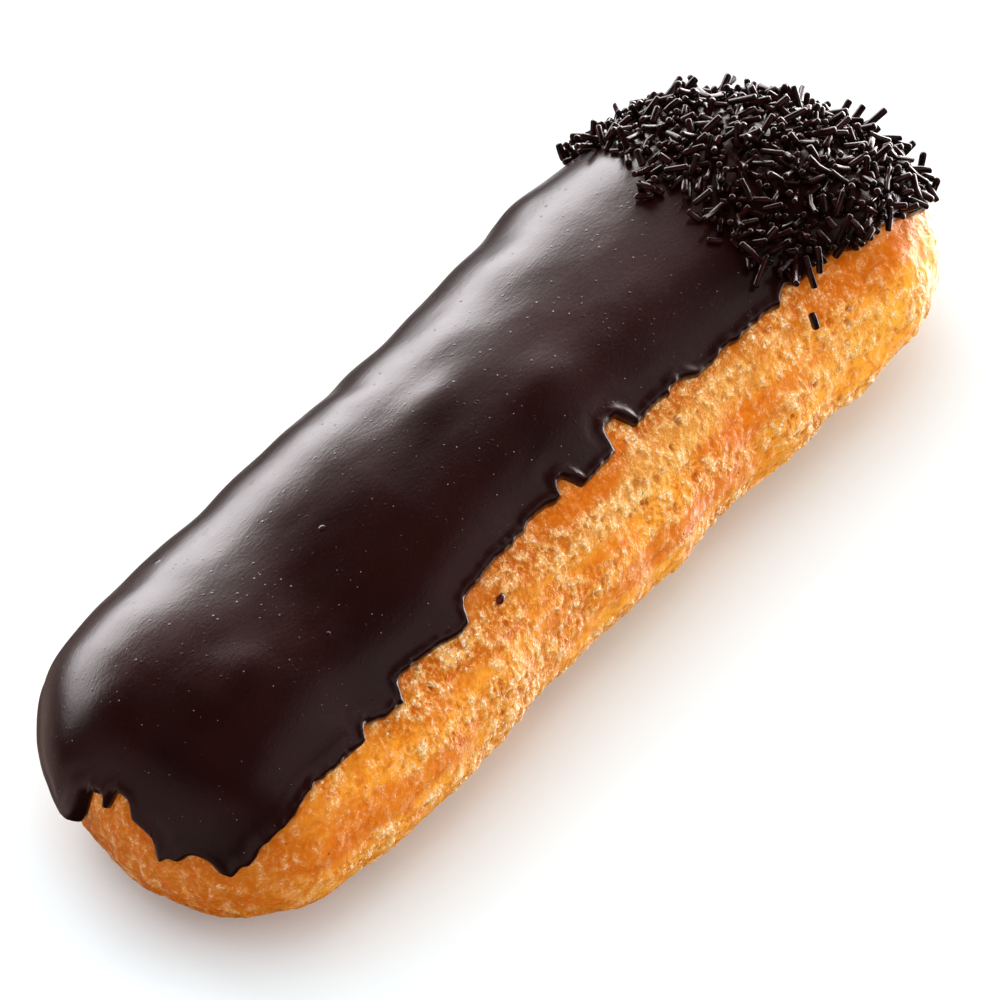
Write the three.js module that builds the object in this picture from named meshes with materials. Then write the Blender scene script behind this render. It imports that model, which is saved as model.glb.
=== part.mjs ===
// A chocolate eclair: a baked choux bar, flat underneath, with a dipped chocolate icing over its top.
// Millimetres. X runs along the bar from the near end (-X) to the far end (+X), -Y is the front, +Z is up.
import * as THREE from 'three';

// ---- driving sizes of the choux bar --------------------------------------------------------------
const BAR_LENGTH = 148;
const HALF_LENGTH = BAR_LENGTH / 2;
const SECTIONS = [
  { x: -60, halfWidth: 24.6, height: 35.6 },
  { x: -40, halfWidth: 24.2, height: 33.9 },
  { x: -20, halfWidth: 22.9, height: 36.2 },
  { x: 0, halfWidth: 22.7, height: 36.1 },
  { x: 20, halfWidth: 23.4, height: 35.0 },
  { x: 40, halfWidth: 24.9, height: 34.0 },
  { x: 60, halfWidth: 27.6, height: 36.4 },
];
// How far the bar bends sideways, against the place along it.
const SWAY = [[-74, 0.8], [-40, 0.5], [0, 0.7], [40, 2.2], [74, -4.2]];
const WIDEST_LEVEL = 0.42; // share of the height at which the bar is widest
const UNDERSIDE_DEPTH = 1.12; // the rounded underside would go this much deeper, and is cut flat by the tray
const SECTION_POWER = 2.3; // 2 is an ellipse, more is squarer
const NEAR_END_POWER = 6.8; // the near end is blunt
const FAR_END_POWER = 5; // the far end is rounder
const FAR_FOOT_SETBACK = 5; // the far end overhangs: its foot stands this far back
const LUMP_HEIGHT = 0.3; // uneven rise of the dough
const LUMP_LENGTHS = [31, 19, 12]; // spacing of the swells along the bar
const WAIST_GROOVE = { depth: 0.9, angle: 66, width: 7, from: -8, to: 52 }; // burst seam along the front side

// ---- driving sizes of the icing ------------------------------------------------------------------
const ICING_THICKNESS = 1.0;
const ICING_GAP = 0.4; // clear of the dough, so that the two solids never share volume
const RIM_WIDTH = 1.6; // the icing rounds off over this width at its edge
const RIM_SHARE = 0.35; // thickness left at the very edge
const BEAD_HEIGHT = 0.35; // the icing gathers into a bead just inside its edge
const BEAD_INSET = 1.9;
// How far the icing reaches down the side, in degrees from straight up, against the place on the rim:
// millimetres round the bar from its near tip, plus along the front, minus along the back.
const REACH = [
  [-172, 82], [-155, 70], [-130, 60], [-100, 57], [-70, 60], [-45, 66], [-28, 82], [-18, 88],
  [-8, 87], [-5, 70], [-1, 60], [3, 62], [7, 70], [12, 72], [16, 75], [20, 68], [24.5, 61], [29, 55.5],
  [33.5, 53], [45, 52], [53, 48.8], [64, 45], [74, 41.5], [94, 40.5], [105, 40.5], [119, 44.5],
  [133, 46.8], [141, 48.5], [149, 57.5], [156, 70], [164, 79], [172, 82],
];
// Single drips (plus) and notches (minus): place on the rim, how far in millimetres, and half width.
const DRIPS = [
  { at: -135, fall: 2.0, width: 3.0 }, { at: -118, fall: 1.6, width: 2.2 },
  { at: -96, fall: 2.6, width: 3.4 }, { at: -74, fall: 1.5, width: 2.4 },
  { at: -52, fall: 3.0, width: 3.0 }, { at: -33, fall: -1.8, width: 2.0 },
  { at: -1.2, fall: -1.2, width: 1.4 }, { at: 6.9, fall: 2.0, width: 1.3 },
  { at: 15.0, fall: 1.4, width: 1.6 }, { at: 44.6, fall: -1.3, width: 1.0 },
  { at: 59.4, fall: 1.5, width: 1.4 }, { at: 83.6, fall: -0.9, width: 1.2 },
  { at: 91.6, fall: 1.3, width: 2.2 }, { at: 94.2, fall: -2.2, width: 1.2 },
  { at: 97.1, fall: 0.8, width: 1.0 }, { at: 127.5, fall: 1.6, width: 1.3 },
  { at: 129.4, fall: -1.4, width: 1.0 }, { at: 143.6, fall: 1.0, width: 1.4 },
];

// ---- mesh fineness -------------------------------------------------------------------------------
const ICING_COLUMNS = 148; // round the rim
const BAR_COLUMNS = ICING_COLUMNS / 2;
const BAR_ROWS = 20; // from the ridge to the middle of the base
const ICING_ROWS = 5; // from the ridge to where the rim starts
const RIM_STEPS = [3.2, 1.9, 1.1, 0.5, 0]; // millimetres in from the edge
const OUTLINE_SAMPLES = 4000;
const BISECTIONS = 34;
const FARTHEST = 60;

// ---- spine and rays ------------------------------------------------------------------------------
const PLAN_LENGTH_POWER = 5;
const PLAN_HALF_WIDTH = 23.5;
const END_REACH = 16; // the spine stops this far short of each tip

const clamp = (value, low, high) => Math.min(high, Math.max(low, value));
const signedPower = (value, power) => Math.sign(value) * Math.abs(value) ** power;
const radians = THREE.MathUtils.degToRad;

// Cubic through a row of points, with slopes that never overshoot.
function smoothCurve(places, values) {
  const rise = places.slice(1).map((place, i) => (values[i + 1] - values[i]) / (place - places[i]));
  const slopes = places.map((_, i) => {
    if (i === 0) return rise[0];
    if (i === rise.length) return rise[i - 1];
    if (rise[i - 1] * rise[i] <= 0) return 0;
    return (2 * rise[i - 1] * rise[i]) / (rise[i - 1] + rise[i]);
  });
  return (at) => {
    const place = clamp(at, places[0], places[places.length - 1]);
    let i = 0;
    while (i < rise.length - 1 && place > places[i + 1]) i += 1;
    const span = places[i + 1] - places[i];
    const t = (place - places[i]) / span;
    const start = values[i] * (1 + 2 * t) * (1 - t) ** 2 + slopes[i] * span * t * (1 - t) ** 2;
    const end = values[i + 1] * t * t * (3 - 2 * t) + slopes[i + 1] * span * t * t * (t - 1);
    return start + end;
  };
}

const stations = SECTIONS.map((section) => section.x);
const halfWidthAt = smoothCurve(stations, SECTIONS.map((section) => section.halfWidth));
const heightAt = smoothCurve(stations, SECTIONS.map((section) => section.height));
const swayAt = smoothCurve(SWAY.map((pair) => pair[0]), SWAY.map((pair) => pair[1]));
const reachAt = smoothCurve(REACH.map((pair) => pair[0]), REACH.map((pair) => pair[1]));

// Below 1 inside the dough, above 1 outside it.
function fullness(x, y, z) {
  const widest = WIDEST_LEVEL * heightAt(x);
  const rise = z > widest ? (z - widest) / (heightAt(x) - widest) : (widest - z) / (widest * UNDERSIDE_DEPTH);
  const setback = x > 0 ? FAR_FOOT_SETBACK * Math.max(0, 1 - z / widest) : 0;
  const endPower = x < 0 ? NEAR_END_POWER : FAR_END_POWER;
  const along = Math.abs(x / (HALF_LENGTH - setback)) ** endPower;
  const across = Math.abs((y - swayAt(x)) / halfWidthAt(x)) ** SECTION_POWER;
  return along + across + rise ** SECTION_POWER;
}

// Walks the plan outline and returns columns at even steps round it, starting at the near tip.
function rimColumns(count) {
  const outline = [];
  let length = 0;
  let previous = null;
  for (let i = 0; i <= OUTLINE_SAMPLES; i += 1) {
    const turn = -Math.PI + (Math.PI * i) / OUTLINE_SAMPLES;
    const share = signedPower(Math.cos(turn), 2 / PLAN_LENGTH_POWER);
    const side = PLAN_HALF_WIDTH * signedPower(Math.sin(turn), 2 / SECTION_POWER);
    if (previous) length += Math.hypot((share - previous.share) * HALF_LENGTH, side - previous.side);
    previous = { share, side, length };
    outline.push(previous);
  }
  const columns = [];
  let k = 0;
  for (let i = 0; i <= count / 2; i += 1) {
    const target = (length * i) / (count / 2);
    while (k < outline.length - 2 && outline[k + 1].length < target) k += 1;
    const step = (target - outline[k].length) / (outline[k + 1].length - outline[k].length);
    const share = THREE.MathUtils.lerp(outline[k].share, outline[k + 1].share, step);
    const side = THREE.MathUtils.lerp(outline[k].side, outline[k + 1].side, step);
    const spine = HALF_LENGTH * share - END_REACH * share ** 3;
    const heading = new THREE.Vector2(END_REACH * share ** 3, i % (count / 2) ? side : 0).normalize();
    columns.push({ rim: target, spine, heading });
  }
  for (let i = count / 2 - 1; i > 0; i -= 1) {
    const { rim, spine, heading } = columns[i];
    columns.push({ rim: -rim, spine, heading: new THREE.Vector2(heading.x, -heading.y) });
  }
  return columns;
}

function lumps(x, angle) {
  const around = Math.sin(angle);
  const [long, middle, short] = LUMP_LENGTHS.map((spacing) => (2 * Math.PI * x) / spacing);
  const swell = Math.sin(long + 1.3) + 0.7 * Math.sin(middle + 2.1 * angle) + 0.5 * Math.sin(short - 3 * angle);
  return LUMP_HEIGHT * swell * around * around;
}

function groove(x, frontness, angle) {
  const { depth, angle: level, width, from, to } = WAIST_GROOVE;
  const middle = (from + to) / 2;
  const ends = Math.exp(-(((x - middle) / ((to - from) / 2)) ** 4));
  const off = (angle - radians(level)) / radians(width);
  return frontness > 0 ? -depth * ends * frontness * Math.exp(-off * off) : 0;
}

// Point of the dough's surface seen from the spine in one direction, moved out by `lift`.
function doughPoint(column, angle, lift) {
  const { spine, heading } = column;
  const start = new THREE.Vector3(spine, swayAt(spine), WIDEST_LEVEL * heightAt(spine));
  const out = Math.sin(angle);
  const ray = new THREE.Vector3(out * heading.x, out * heading.y, Math.cos(angle));
  let inside = 0;
  let outside = FARTHEST;
  for (let i = 0; i < BISECTIONS; i += 1) {
    const middle = (inside + outside) / 2;
    const probe = start.clone().addScaledVector(ray, middle);
    if (fullness(probe.x, probe.y, probe.z) < 1) inside = middle;
    else outside = middle;
  }
  const x = start.x + ray.x * inside;
  const radius = inside + lumps(x, angle) + groove(x, -heading.y, angle) + lift;
  const point = start.addScaledVector(ray, radius);
  point.z = Math.max(0, point.z);
  return { point, radius };
}

// Rows of a sheet round the spine. Above and below the spine the two sides share one line of points.
class Sheet {
  constructor(columns) {
    this.count = columns;
    this.positions = [];
    this.triangles = [];
  }

  addRow(points) {
    const first = this.positions.length / 3;
    points.forEach((point) => this.positions.push(point.x, point.y, point.z));
    return points.map((_, i) => first + i);
  }

  // A row on that line, where each tip also shares the point of the columns next to it.
  addFoldedRow(points) {
    const half = this.count / 2;
    const line = this.addRow(points.slice(1, half));
    return points.map((_, i) => line[clamp(Math.min(i, this.count - i), 1, half - 1) - 1]);
  }

  addTriangle(a, b, c) {
    if (a !== b && b !== c && c !== a) this.triangles.push(a, b, c);
  }

  // Fills the strip between two rows. `upper` lies nearer the start of the outward-facing side.
  joinRows(upper, lower) {
    for (let i = 0; i < this.count; i += 1) {
      const next = (i + 1) % this.count;
      this.addTriangle(upper[i], lower[i], lower[next]);
      this.addTriangle(upper[i], lower[next], upper[next]);
    }
  }

  toMesh(name, material) {
    const geometry = new THREE.BufferGeometry();
    geometry.setAttribute('position', new THREE.Float32BufferAttribute(this.positions, 3));
    geometry.setIndex(this.triangles);
    geometry.computeVertexNormals();
    const mesh = new THREE.Mesh(geometry, material);
    mesh.name = name;
    return mesh;
  }
}

// ---- choux bar -----------------------------------------------------------------------------------
function makeBar() {
  const columns = rimColumns(BAR_COLUMNS);
  const sheet = new Sheet(BAR_COLUMNS);
  const ring = (angle) => columns.map((column) => doughPoint(column, angle, 0).point);
  let above = sheet.addFoldedRow(ring(0));
  for (let row = 1; row < BAR_ROWS; row += 1) {
    const below = sheet.addRow(ring((Math.PI * row) / BAR_ROWS));
    sheet.joinRows(above, below);
    above = below;
  }
  sheet.joinRows(above, sheet.addFoldedRow(ring(Math.PI)));
  const crust = new THREE.MeshStandardMaterial({ color: 0xd9943f, roughness: 0.6, metalness: 0 });
  return sheet.toMesh('choux_bar', crust);
}

// ---- icing ---------------------------------------------------------------------------------------
function icingEdge(column) {
  const { radius } = doughPoint(column, radians(reachAt(column.rim)), 0);
  const fall = DRIPS.reduce((sum, drip) => {
    const off = (column.rim - drip.at) / drip.width;
    return sum + drip.fall * Math.exp(-off * off);
  }, 0);
  return { angle: radians(reachAt(column.rim)) + fall / radius, radius };
}

function icingThickness(inset) {
  const rounding = Math.sqrt(1 - (1 - clamp(inset / RIM_WIDTH, 0, 1)) ** 2);
  const bead = BEAD_HEIGHT * Math.exp(-(((inset - BEAD_INSET) / RIM_WIDTH) ** 2));
  return ICING_THICKNESS * (RIM_SHARE + (1 - RIM_SHARE) * rounding) + bead * rounding;
}

function makeIcing() {
  const columns = rimColumns(ICING_COLUMNS);
  const edges = columns.map(icingEdge);
  const sheet = new Sheet(ICING_COLUMNS);
  const outermost = RIM_STEPS[0];
  // Row places as [share of the way to the rim, millimetres in from the edge].
  const rows = [];
  for (let row = 0; row < ICING_ROWS; row += 1) rows.push({ share: row / ICING_ROWS, inset: outermost });
  RIM_STEPS.forEach((inset) => rows.push({ share: 1, inset }));
  const ring = ({ share, inset }, lift) => columns.map((column, i) => {
    const angle = share * (edges[i].angle - inset / edges[i].radius);
    const depth = (edges[i].angle - angle) * edges[i].radius;
    return doughPoint(column, angle, ICING_GAP + lift(depth)).point;
  });
  const layer = (lift) => rows.map((row, i) => {
    const points = ring(row, lift);
    return i === 0 ? sheet.addFoldedRow(points) : sheet.addRow(points);
  });
  const top = layer(icingThickness);
  const underside = layer(() => 0);
  for (let i = 1; i < rows.length; i += 1) {
    sheet.joinRows(top[i - 1], top[i]);
    sheet.joinRows(underside[i], underside[i - 1]);
  }
  sheet.joinRows(top[rows.length - 1], underside[rows.length - 1]);
  const chocolate = new THREE.MeshStandardMaterial({ color: 0x1e0f0b, roughness: 0.22, metalness: 0 });
  return sheet.toMesh('chocolate_icing', chocolate);
}

// ---- the eclair, its base centred under the box round it ------------------------------------------
const eclair = new THREE.Group();
eclair.name = 'chocolate_eclair';
eclair.add(makeBar(), makeIcing());
const middle = new THREE.Box3().setFromObject(eclair).getCenter(new THREE.Vector3());
eclair.position.set(-middle.x, -middle.y, 0);

export default eclair;
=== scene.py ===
"""A chocolate eclair: choux crust, dripped icing, vermicelli on the far end, on a plain pale floor."""

import math

import bpy
import numpy as np
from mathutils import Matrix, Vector


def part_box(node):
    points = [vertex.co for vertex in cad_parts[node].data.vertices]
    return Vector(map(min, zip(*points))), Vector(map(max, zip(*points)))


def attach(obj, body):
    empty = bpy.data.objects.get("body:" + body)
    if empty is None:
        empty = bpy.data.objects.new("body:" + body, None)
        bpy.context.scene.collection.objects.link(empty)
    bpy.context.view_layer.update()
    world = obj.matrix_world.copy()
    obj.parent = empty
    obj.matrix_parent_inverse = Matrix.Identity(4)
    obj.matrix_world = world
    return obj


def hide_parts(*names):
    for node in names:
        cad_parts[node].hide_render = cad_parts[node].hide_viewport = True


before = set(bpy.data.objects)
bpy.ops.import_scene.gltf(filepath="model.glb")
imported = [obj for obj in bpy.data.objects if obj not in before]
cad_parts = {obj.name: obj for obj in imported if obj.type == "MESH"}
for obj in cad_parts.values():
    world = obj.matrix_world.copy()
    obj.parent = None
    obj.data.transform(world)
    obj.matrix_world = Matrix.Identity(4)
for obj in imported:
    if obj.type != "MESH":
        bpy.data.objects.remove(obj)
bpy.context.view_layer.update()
MM = 0.001

# ---- the bar's own sizes, as in the solids, in millimetres ----------------------------------------
HALF_LENGTH = 74.0
SECTIONS = [  # place along the bar, half width, height
    (-60, 24.6, 35.6),
    (-40, 24.2, 33.9),
    (-20, 22.9, 36.2),
    (0, 22.7, 36.1),
    (20, 23.4, 35.0),
    (40, 24.9, 34.0),
    (60, 27.6, 36.4),
]
SWAY = [(-74, 0.8), (-40, 0.5), (0, 0.7), (40, 2.2), (74, -4.2)]
WIDEST_LEVEL = 0.42
UNDERSIDE_DEPTH = 1.12
SECTION_POWER = 2.3
NEAR_END_POWER = 6.8
FAR_END_POWER = 5.0
FAR_FOOT_SETBACK = 5.0
LUMP_HEIGHT = 0.3
LUMP_LENGTHS = (31, 19, 12)
PLAN_LENGTH_POWER = 5
PLAN_HALF_WIDTH = 23.5
END_REACH = 16.0
GROOVE = {"depth": 0.9, "angle": 66, "width": 7, "start": -8, "end": 52}

# ---- the icing ------------------------------------------------------------------------------------
ICING_TOP = 1.4  # its surface above the dough, as in the solids
RIM_TOP = 1.15  # and near its edge, where it thins
RIM_ROUND = 1.6  # the edge rounds off over this
REACH = [  # place round the rim from the near tip (minus behind), degrees from straight up
    (-172, 83), (-155, 78), (-130, 75), (-100, 74), (-70, 74), (-45, 76), (-28, 83), (-18, 88),
    (-8.5, 88), (-6.5, 84), (-5.3, 64.5), (-1, 57.5), (3, 61), (7, 67), (12, 71), (16, 75), (20, 68),
    (24.5, 61), (29, 55.5), (33.5, 53), (45, 51.5), (53, 48.5), (64, 45), (74, 41.5), (94, 40.5),
    (105, 40.5), (119, 44.5), (133, 46.8), (141, 48.5), (149, 57.5), (156, 70), (164, 79), (172, 82),
]
DRIPS = [  # behind: place, fall, size
    (-135, 1.4, 4.0), (-118, 1.2, 3.0), (-96, 1.8, 4.5), (-74, 1.2, 3.2), (-52, 1.6, 4.0),
]
SAGS = [  # in front: begins, full from, full to, ends, fall (negative for a notch)
    (-13, -9.2, -8.2, -6.0, 2.2), (-5.6, -4.8, -4.2, -3.4, 0.9), (-3.9, -2.9, -2.4, -1.5, 3.0),
    (0.4, 1.8, 5.2, 6.0, 1.7), (5.0, 6.0, 8.6, 11.8, 2.9), (5.0, 5.9, 6.3, 7.9, 1.6),
    (10, 11.8, 16.5, 20, 1.1), (12, 14, 15, 17, 1.4), (16.6, 17.8, 18.4, 19.6, 0.7),
    (19, 20, 24, 25, 0.4), (25.5, 33, 37.0, 38.3, 1.4), (37.5, 42.5, 45.0, 46.0, 1.2),
    (45.1, 46.1, 47, 52, -1.2), (51.5, 57.5, 59.3, 60.4, 1.8), (59.8, 60.9, 67, 70, -0.5),
    (69.5, 71.5, 74.0, 75.2, 0.45), (77, 80.5, 81.3, 82.2, 0.65), (81.4, 82.4, 83, 84.3, -1.0),
    (83.6, 85, 92.0, 93.0, 1.6), (92.2, 93.3, 95.4, 96.9, -1.7), (96.2, 97.4, 104, 105, 0.95),
    (103.6, 104.8, 126, 128.7, 0.8), (106, 110, 112.5, 115.6, 1.0), (116, 117.4, 117.8, 120, 0.3),
    (125.8, 126.8, 127.4, 128.6, 0.5), (128.4, 129.4, 130.2, 131.2, -0.3),
    (130.4, 131.6, 134.0, 135.2, 0.4), (138, 142.2, 142.9, 144.0, 1.35), (143.4, 149, 155.6, 158, -0.95),
]
RIPPLE = 0.07  # small scallops along the edge
LOBE = (-10.8, 6.0, 0.8)  # the thick lobe that hangs off the near end: place, half width, extra thickness
SWELLS = [  # slow humps and hollows of the icing: x, y, half length, half breadth, height
    (-6.0, 5.0, 5.8, 2.8, 0.5), (4.0, 11.0, 5.0, 2.8, 0.25), (8.0, 19.5, 6.5, 2.6, 0.28),
    (7.0, -2.8, 4.5, 3.0, 0.42), (-18.0, 9.5, 7.0, 4.5, 0.2), (-37.0, 4.5, 5.0, 4.5, 0.08),
    (-53.0, -2.4, 3.2, 2.6, 0.26), (-53.0, 2.0, 3.0, 2.4, -0.12), (27.5, 13.5, 8.0, 3.2, 0.2),
    (22.5, 10.0, 6.0, 3.0, 0.15), (-46.5, 10.5, 8.0, 4.5, 0.25), (-20.0, -4.0, 10.0, 7.0, -0.2),
]
BACK_SWELL = [  # behind: x, thicker by, half length
    (-16, 0.55, 8), (-10.5, 0.35, 3.2), (15.5, 0.34, 7), (-50, 0.5, 9), (-44, 0.35, 3.5), (33, 0.2, 8),
]
BUBBLES = [  # middle, radius, height
    ((-30.5, 3.3, 36.0), 0.4, 0.08),
    ((-42.1, -7.4, 34.0), 0.28, 0.05),
    ((-44.1, 19.5, 27.0), 0.45, 0.12),
]
FRONT_SWELL = [  # x, further out (or in) by, half length: the dough's own unevenness low on the front
    (58, -0.75, 10), (28, -0.85, 6), (11, 0.4, 5), (-6, -0.25, 6), (-20, 0.3, 5), (42, 0.3, 3), (-72, 0.2, 4),
]
HOLLOWS = [((-73.0, 10.0, 10.0), 7.0, 1.3)]  # of the dough: middle, size, depth

# ---- vermicelli -----------------------------------------------------------------------------------
VERMICELLI = 620
VERMICELLI_RADIUS = (0.42, 0.53)
VERMICELLI_LENGTH = (1.5, 4.8)
LENGTH_MEAN, LENGTH_SPREAD = 2.8, 0.9
PILE_HEIGHT = 1.6
RISE_STEP = 0.2
TRIES = 4  # of so many places, the lowest one gets the stick
TOUCH = 0.93  # the axes of two sticks stay this share of their thickness apart
SOWN_FROM = 41.6  # along the bar
SOWN_RIM = 105  # round the rim, where the search for places begins
STRAY = ((42.444, -18.64, 28.18), (42.156, -19.36, 27.22), 0.55)  # one on the crust: its ends, radius

rng = np.random.default_rng(31)


# ---- curves and the bar's surface -----------------------------------------------------------------
def smooth_curve(points):
    """A cubic through the points whose slopes never overshoot."""
    places, values = np.array(points, float).T
    rise = np.diff(values) / np.diff(places)
    slopes = np.concatenate([rise[:1], rise[1:], rise[-1:]])
    product = rise[:-1] * rise[1:]
    total = rise[:-1] + rise[1:]
    safe = np.where(product > 0, total, 1.0)
    slopes[1:-1] = np.where(product > 0, 2 * product / safe, 0.0)
    slopes[0], slopes[-1] = rise[0], rise[-1]

    def at(place):
        place = np.clip(place, places[0], places[-1])
        i = np.clip(np.searchsorted(places, place) - 1, 0, len(rise) - 1)
        span = places[i + 1] - places[i]
        t = (place - places[i]) / span
        start = values[i] * (1 + 2 * t) * (1 - t) ** 2 + slopes[i] * span * t * (1 - t) ** 2
        end = values[i + 1] * t * t * (3 - 2 * t) + slopes[i + 1] * span * t * t * (t - 1)
        return start + end

    return at


half_width_at = smooth_curve([(x, w) for x, w, _ in SECTIONS])
height_at = smooth_curve([(x, h) for x, _, h in SECTIONS])
sway_at = smooth_curve(SWAY)
reach_at = smooth_curve(REACH)


def smoothstep(low, high, value):
    t = np.clip((value - low) / (high - low), 0, 1)
    return t * t * (3 - 2 * t)


def fullness(x, y, z):
    """Below 1 inside the dough."""
    height = height_at(x)
    widest = WIDEST_LEVEL * height
    rise = np.where(z > widest, (z - widest) / (height - widest), (widest - z) / (widest * UNDERSIDE_DEPTH))
    setback = np.where(x > 0, FAR_FOOT_SETBACK * np.maximum(0, 1 - z / widest), 0)
    power = np.where(x < 0, NEAR_END_POWER, FAR_END_POWER)
    along = np.abs(x / (HALF_LENGTH - setback)) ** power
    across = np.abs((y - sway_at(x)) / half_width_at(x)) ** SECTION_POWER
    return along + across + rise**SECTION_POWER


class Columns:
    """Rays from the spine at even steps round the rim, starting at the near tip and going by the front."""

    def __init__(self, count):
        turn = np.linspace(-math.pi, 0, 200001)
        share = np.sign(np.cos(turn)) * np.abs(np.cos(turn)) ** (2 / PLAN_LENGTH_POWER)
        side = PLAN_HALF_WIDTH * np.sign(np.sin(turn)) * np.abs(np.sin(turn)) ** (2 / SECTION_POWER)
        steps = np.hypot(np.diff(share * HALF_LENGTH), np.diff(side))
        length = np.concatenate([[0], np.cumsum(steps)])
        rim = np.linspace(0, length[-1], count // 2 + 1)
        share = np.interp(rim, length, share)
        side = np.interp(rim, length, side)
        side[[0, -1]] = 0
        self.count = count
        self.rim_length = length[-1]
        self.rim = np.concatenate([rim, -rim[-2:0:-1]])
        share = np.concatenate([share, share[-2:0:-1]])
        side = np.concatenate([side, -side[-2:0:-1]])
        self.spine = HALF_LENGTH * share - END_REACH * share**3
        heading = np.stack([END_REACH * share**3, side], -1)
        self.heading = heading / np.linalg.norm(heading, axis=-1, keepdims=True)

    def at(self, rim):
        """The same, at any places round the rim."""
        order = np.argsort(self.rim)
        spine, *heading = [np.interp(rim, self.rim[order], v[order]) for v in (self.spine, *self.heading.T)]
        heading = np.stack(heading, -1)
        made = object.__new__(Columns)
        made.rim, made.spine = rim, spine
        made.heading = heading / np.linalg.norm(heading, axis=-1, keepdims=True)
        return made


def surface(columns, angle, lift=0.0):
    """Points of the dough at these angles from straight up, in as many rows, and their radii."""
    angle = np.atleast_2d(angle)
    spine = columns.spine
    start = np.stack([spine, sway_at(spine), WIDEST_LEVEL * height_at(spine)], -1)
    out = np.sin(angle)
    ray = np.stack([out * columns.heading[:, 0], out * columns.heading[:, 1], np.cos(angle)], -1)
    inside = np.zeros(angle.shape)
    outside = np.full(angle.shape, 60.0)
    for _ in range(26):
        middle = (inside + outside) / 2
        probe = start + middle[..., None] * ray
        dough = fullness(probe[..., 0], probe[..., 1], probe[..., 2]) < 1
        inside = np.where(dough, middle, inside)
        outside = np.where(dough, outside, middle)
    x = start[:, 0] + ray[..., 0] * inside
    swell = [2 * math.pi * x / spacing for spacing in LUMP_LENGTHS]
    lumps = np.sin(swell[0] + 1.3) + 0.7 * np.sin(swell[1] + 2.1 * angle) + 0.5 * np.sin(swell[2] - 3 * angle)
    groove_middle = (GROOVE["start"] + GROOVE["end"]) / 2
    groove_half = (GROOVE["end"] - GROOVE["start"]) / 2
    ends = np.exp(-(((x - groove_middle) / groove_half) ** 4))
    off = (angle - math.radians(GROOVE["angle"])) / math.radians(GROOVE["width"])
    groove = GROOVE["depth"] * ends * np.maximum(0, -columns.heading[:, 1]) * np.exp(-off * off)
    radius = inside + LUMP_HEIGHT * lumps * out**2 - groove + lift
    points = start + radius[..., None] * ray
    points[..., 2] = np.maximum(0, points[..., 2])
    return points, radius


class Sheet:
    """Rows of points round the spine. In a folded row, above or below it, both sides share one line."""

    def __init__(self, count):
        self.count, self.points, self.faces, self.total = count, [], [], 0

    def row(self, points):
        self.points.append(points)
        self.total += len(points)
        return np.arange(self.total - len(points), self.total)

    def folded_row(self, points):
        half = self.count // 2
        line = self.row(points[1:half])
        place = np.arange(self.count)
        return line[np.clip(np.minimum(place, self.count - place), 1, half - 1) - 1]

    def join(self, upper, lower):
        u, d = np.roll(upper, -1), np.roll(lower, -1)
        self.faces.append(np.stack([upper, lower, d, u], -1))

    def hang(self, above, rings):
        """Joins rings of points below a row, one below the other. Returns the last row."""
        for ring in rings:
            below = self.row(ring)
            self.join(above, below)
            above = below
        return above

    def zip(self, coarse, fine, flip=False):
        """Joins a row to one that has twice the columns in its first half."""
        half = len(coarse) // 2
        k = np.arange(half)
        a, b = coarse[k], coarse[k + 1]
        c, d, e = fine[2 * k], fine[2 * k + 1], fine[2 * k + 2]
        quads = [np.stack(q, -1) for q in ((a, c, d, d), (a, d, d, b), (b, d, e, e))]
        k = np.arange(half, len(coarse))
        past, closed = np.append(fine[2 * half :], fine[0]), np.append(coarse, coarse[0])
        quads.append(np.stack([coarse[k], past[k - half], past[k - half + 1], closed[k + 1]], -1))
        self.faces += [q[:, ::-1] if flip else q for q in quads]

    def build(self, name):
        points = np.concatenate(self.points)
        quads = np.concatenate(self.faces)
        faces = []
        for quad in quads.tolist():
            corners = [c for i, c in enumerate(quad) if c != quad[i - 1]]
            if len(corners) > 2:
                faces.append(corners)
        return make_object(name, points, faces)


def make_object(name, points, faces):
    mesh = bpy.data.meshes.new(name)
    mesh.from_pydata((points * MM).tolist(), [], faces)
    mesh.validate()
    mesh.shade_smooth()
    ob = bpy.data.objects.new(name, mesh)
    bpy.context.scene.collection.objects.link(ob)
    return ob


# ---- patterns that geometry and colour share --------------------------------------------------------
SPOT_SOFTNESS = 0.35
SKIN_STREAKS = [  # smooth brown skin: middle, radii, strength
    ((-49.0, -22.5, 18.0), (15.0, 7.0, 3.2), 1.0),
    ((9.0, -22.5, 17.0), (16.0, 7.0, 2.4), 1.0),
    ((33.0, -23.0, 21.5), (13.0, 7.0, 2.6), 1.0),
    ((54.0, -18.0, 28.5), (14.0, 8.0, 2.6), 0.7),
    ((-2.0, -16.0, 32.0), (11.0, 6.0, 2.4), 0.7),
]
SEAMS = [  # where the dough tore open as it rose: middle, radii, strength
    ((14.0, -19.5, 27.5), (19.0, 6.0, 3.2), 1.0),
    ((44.0, -23.0, 21.0), (14.0, 6.0, 3.0), 0.7),
]


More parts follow.
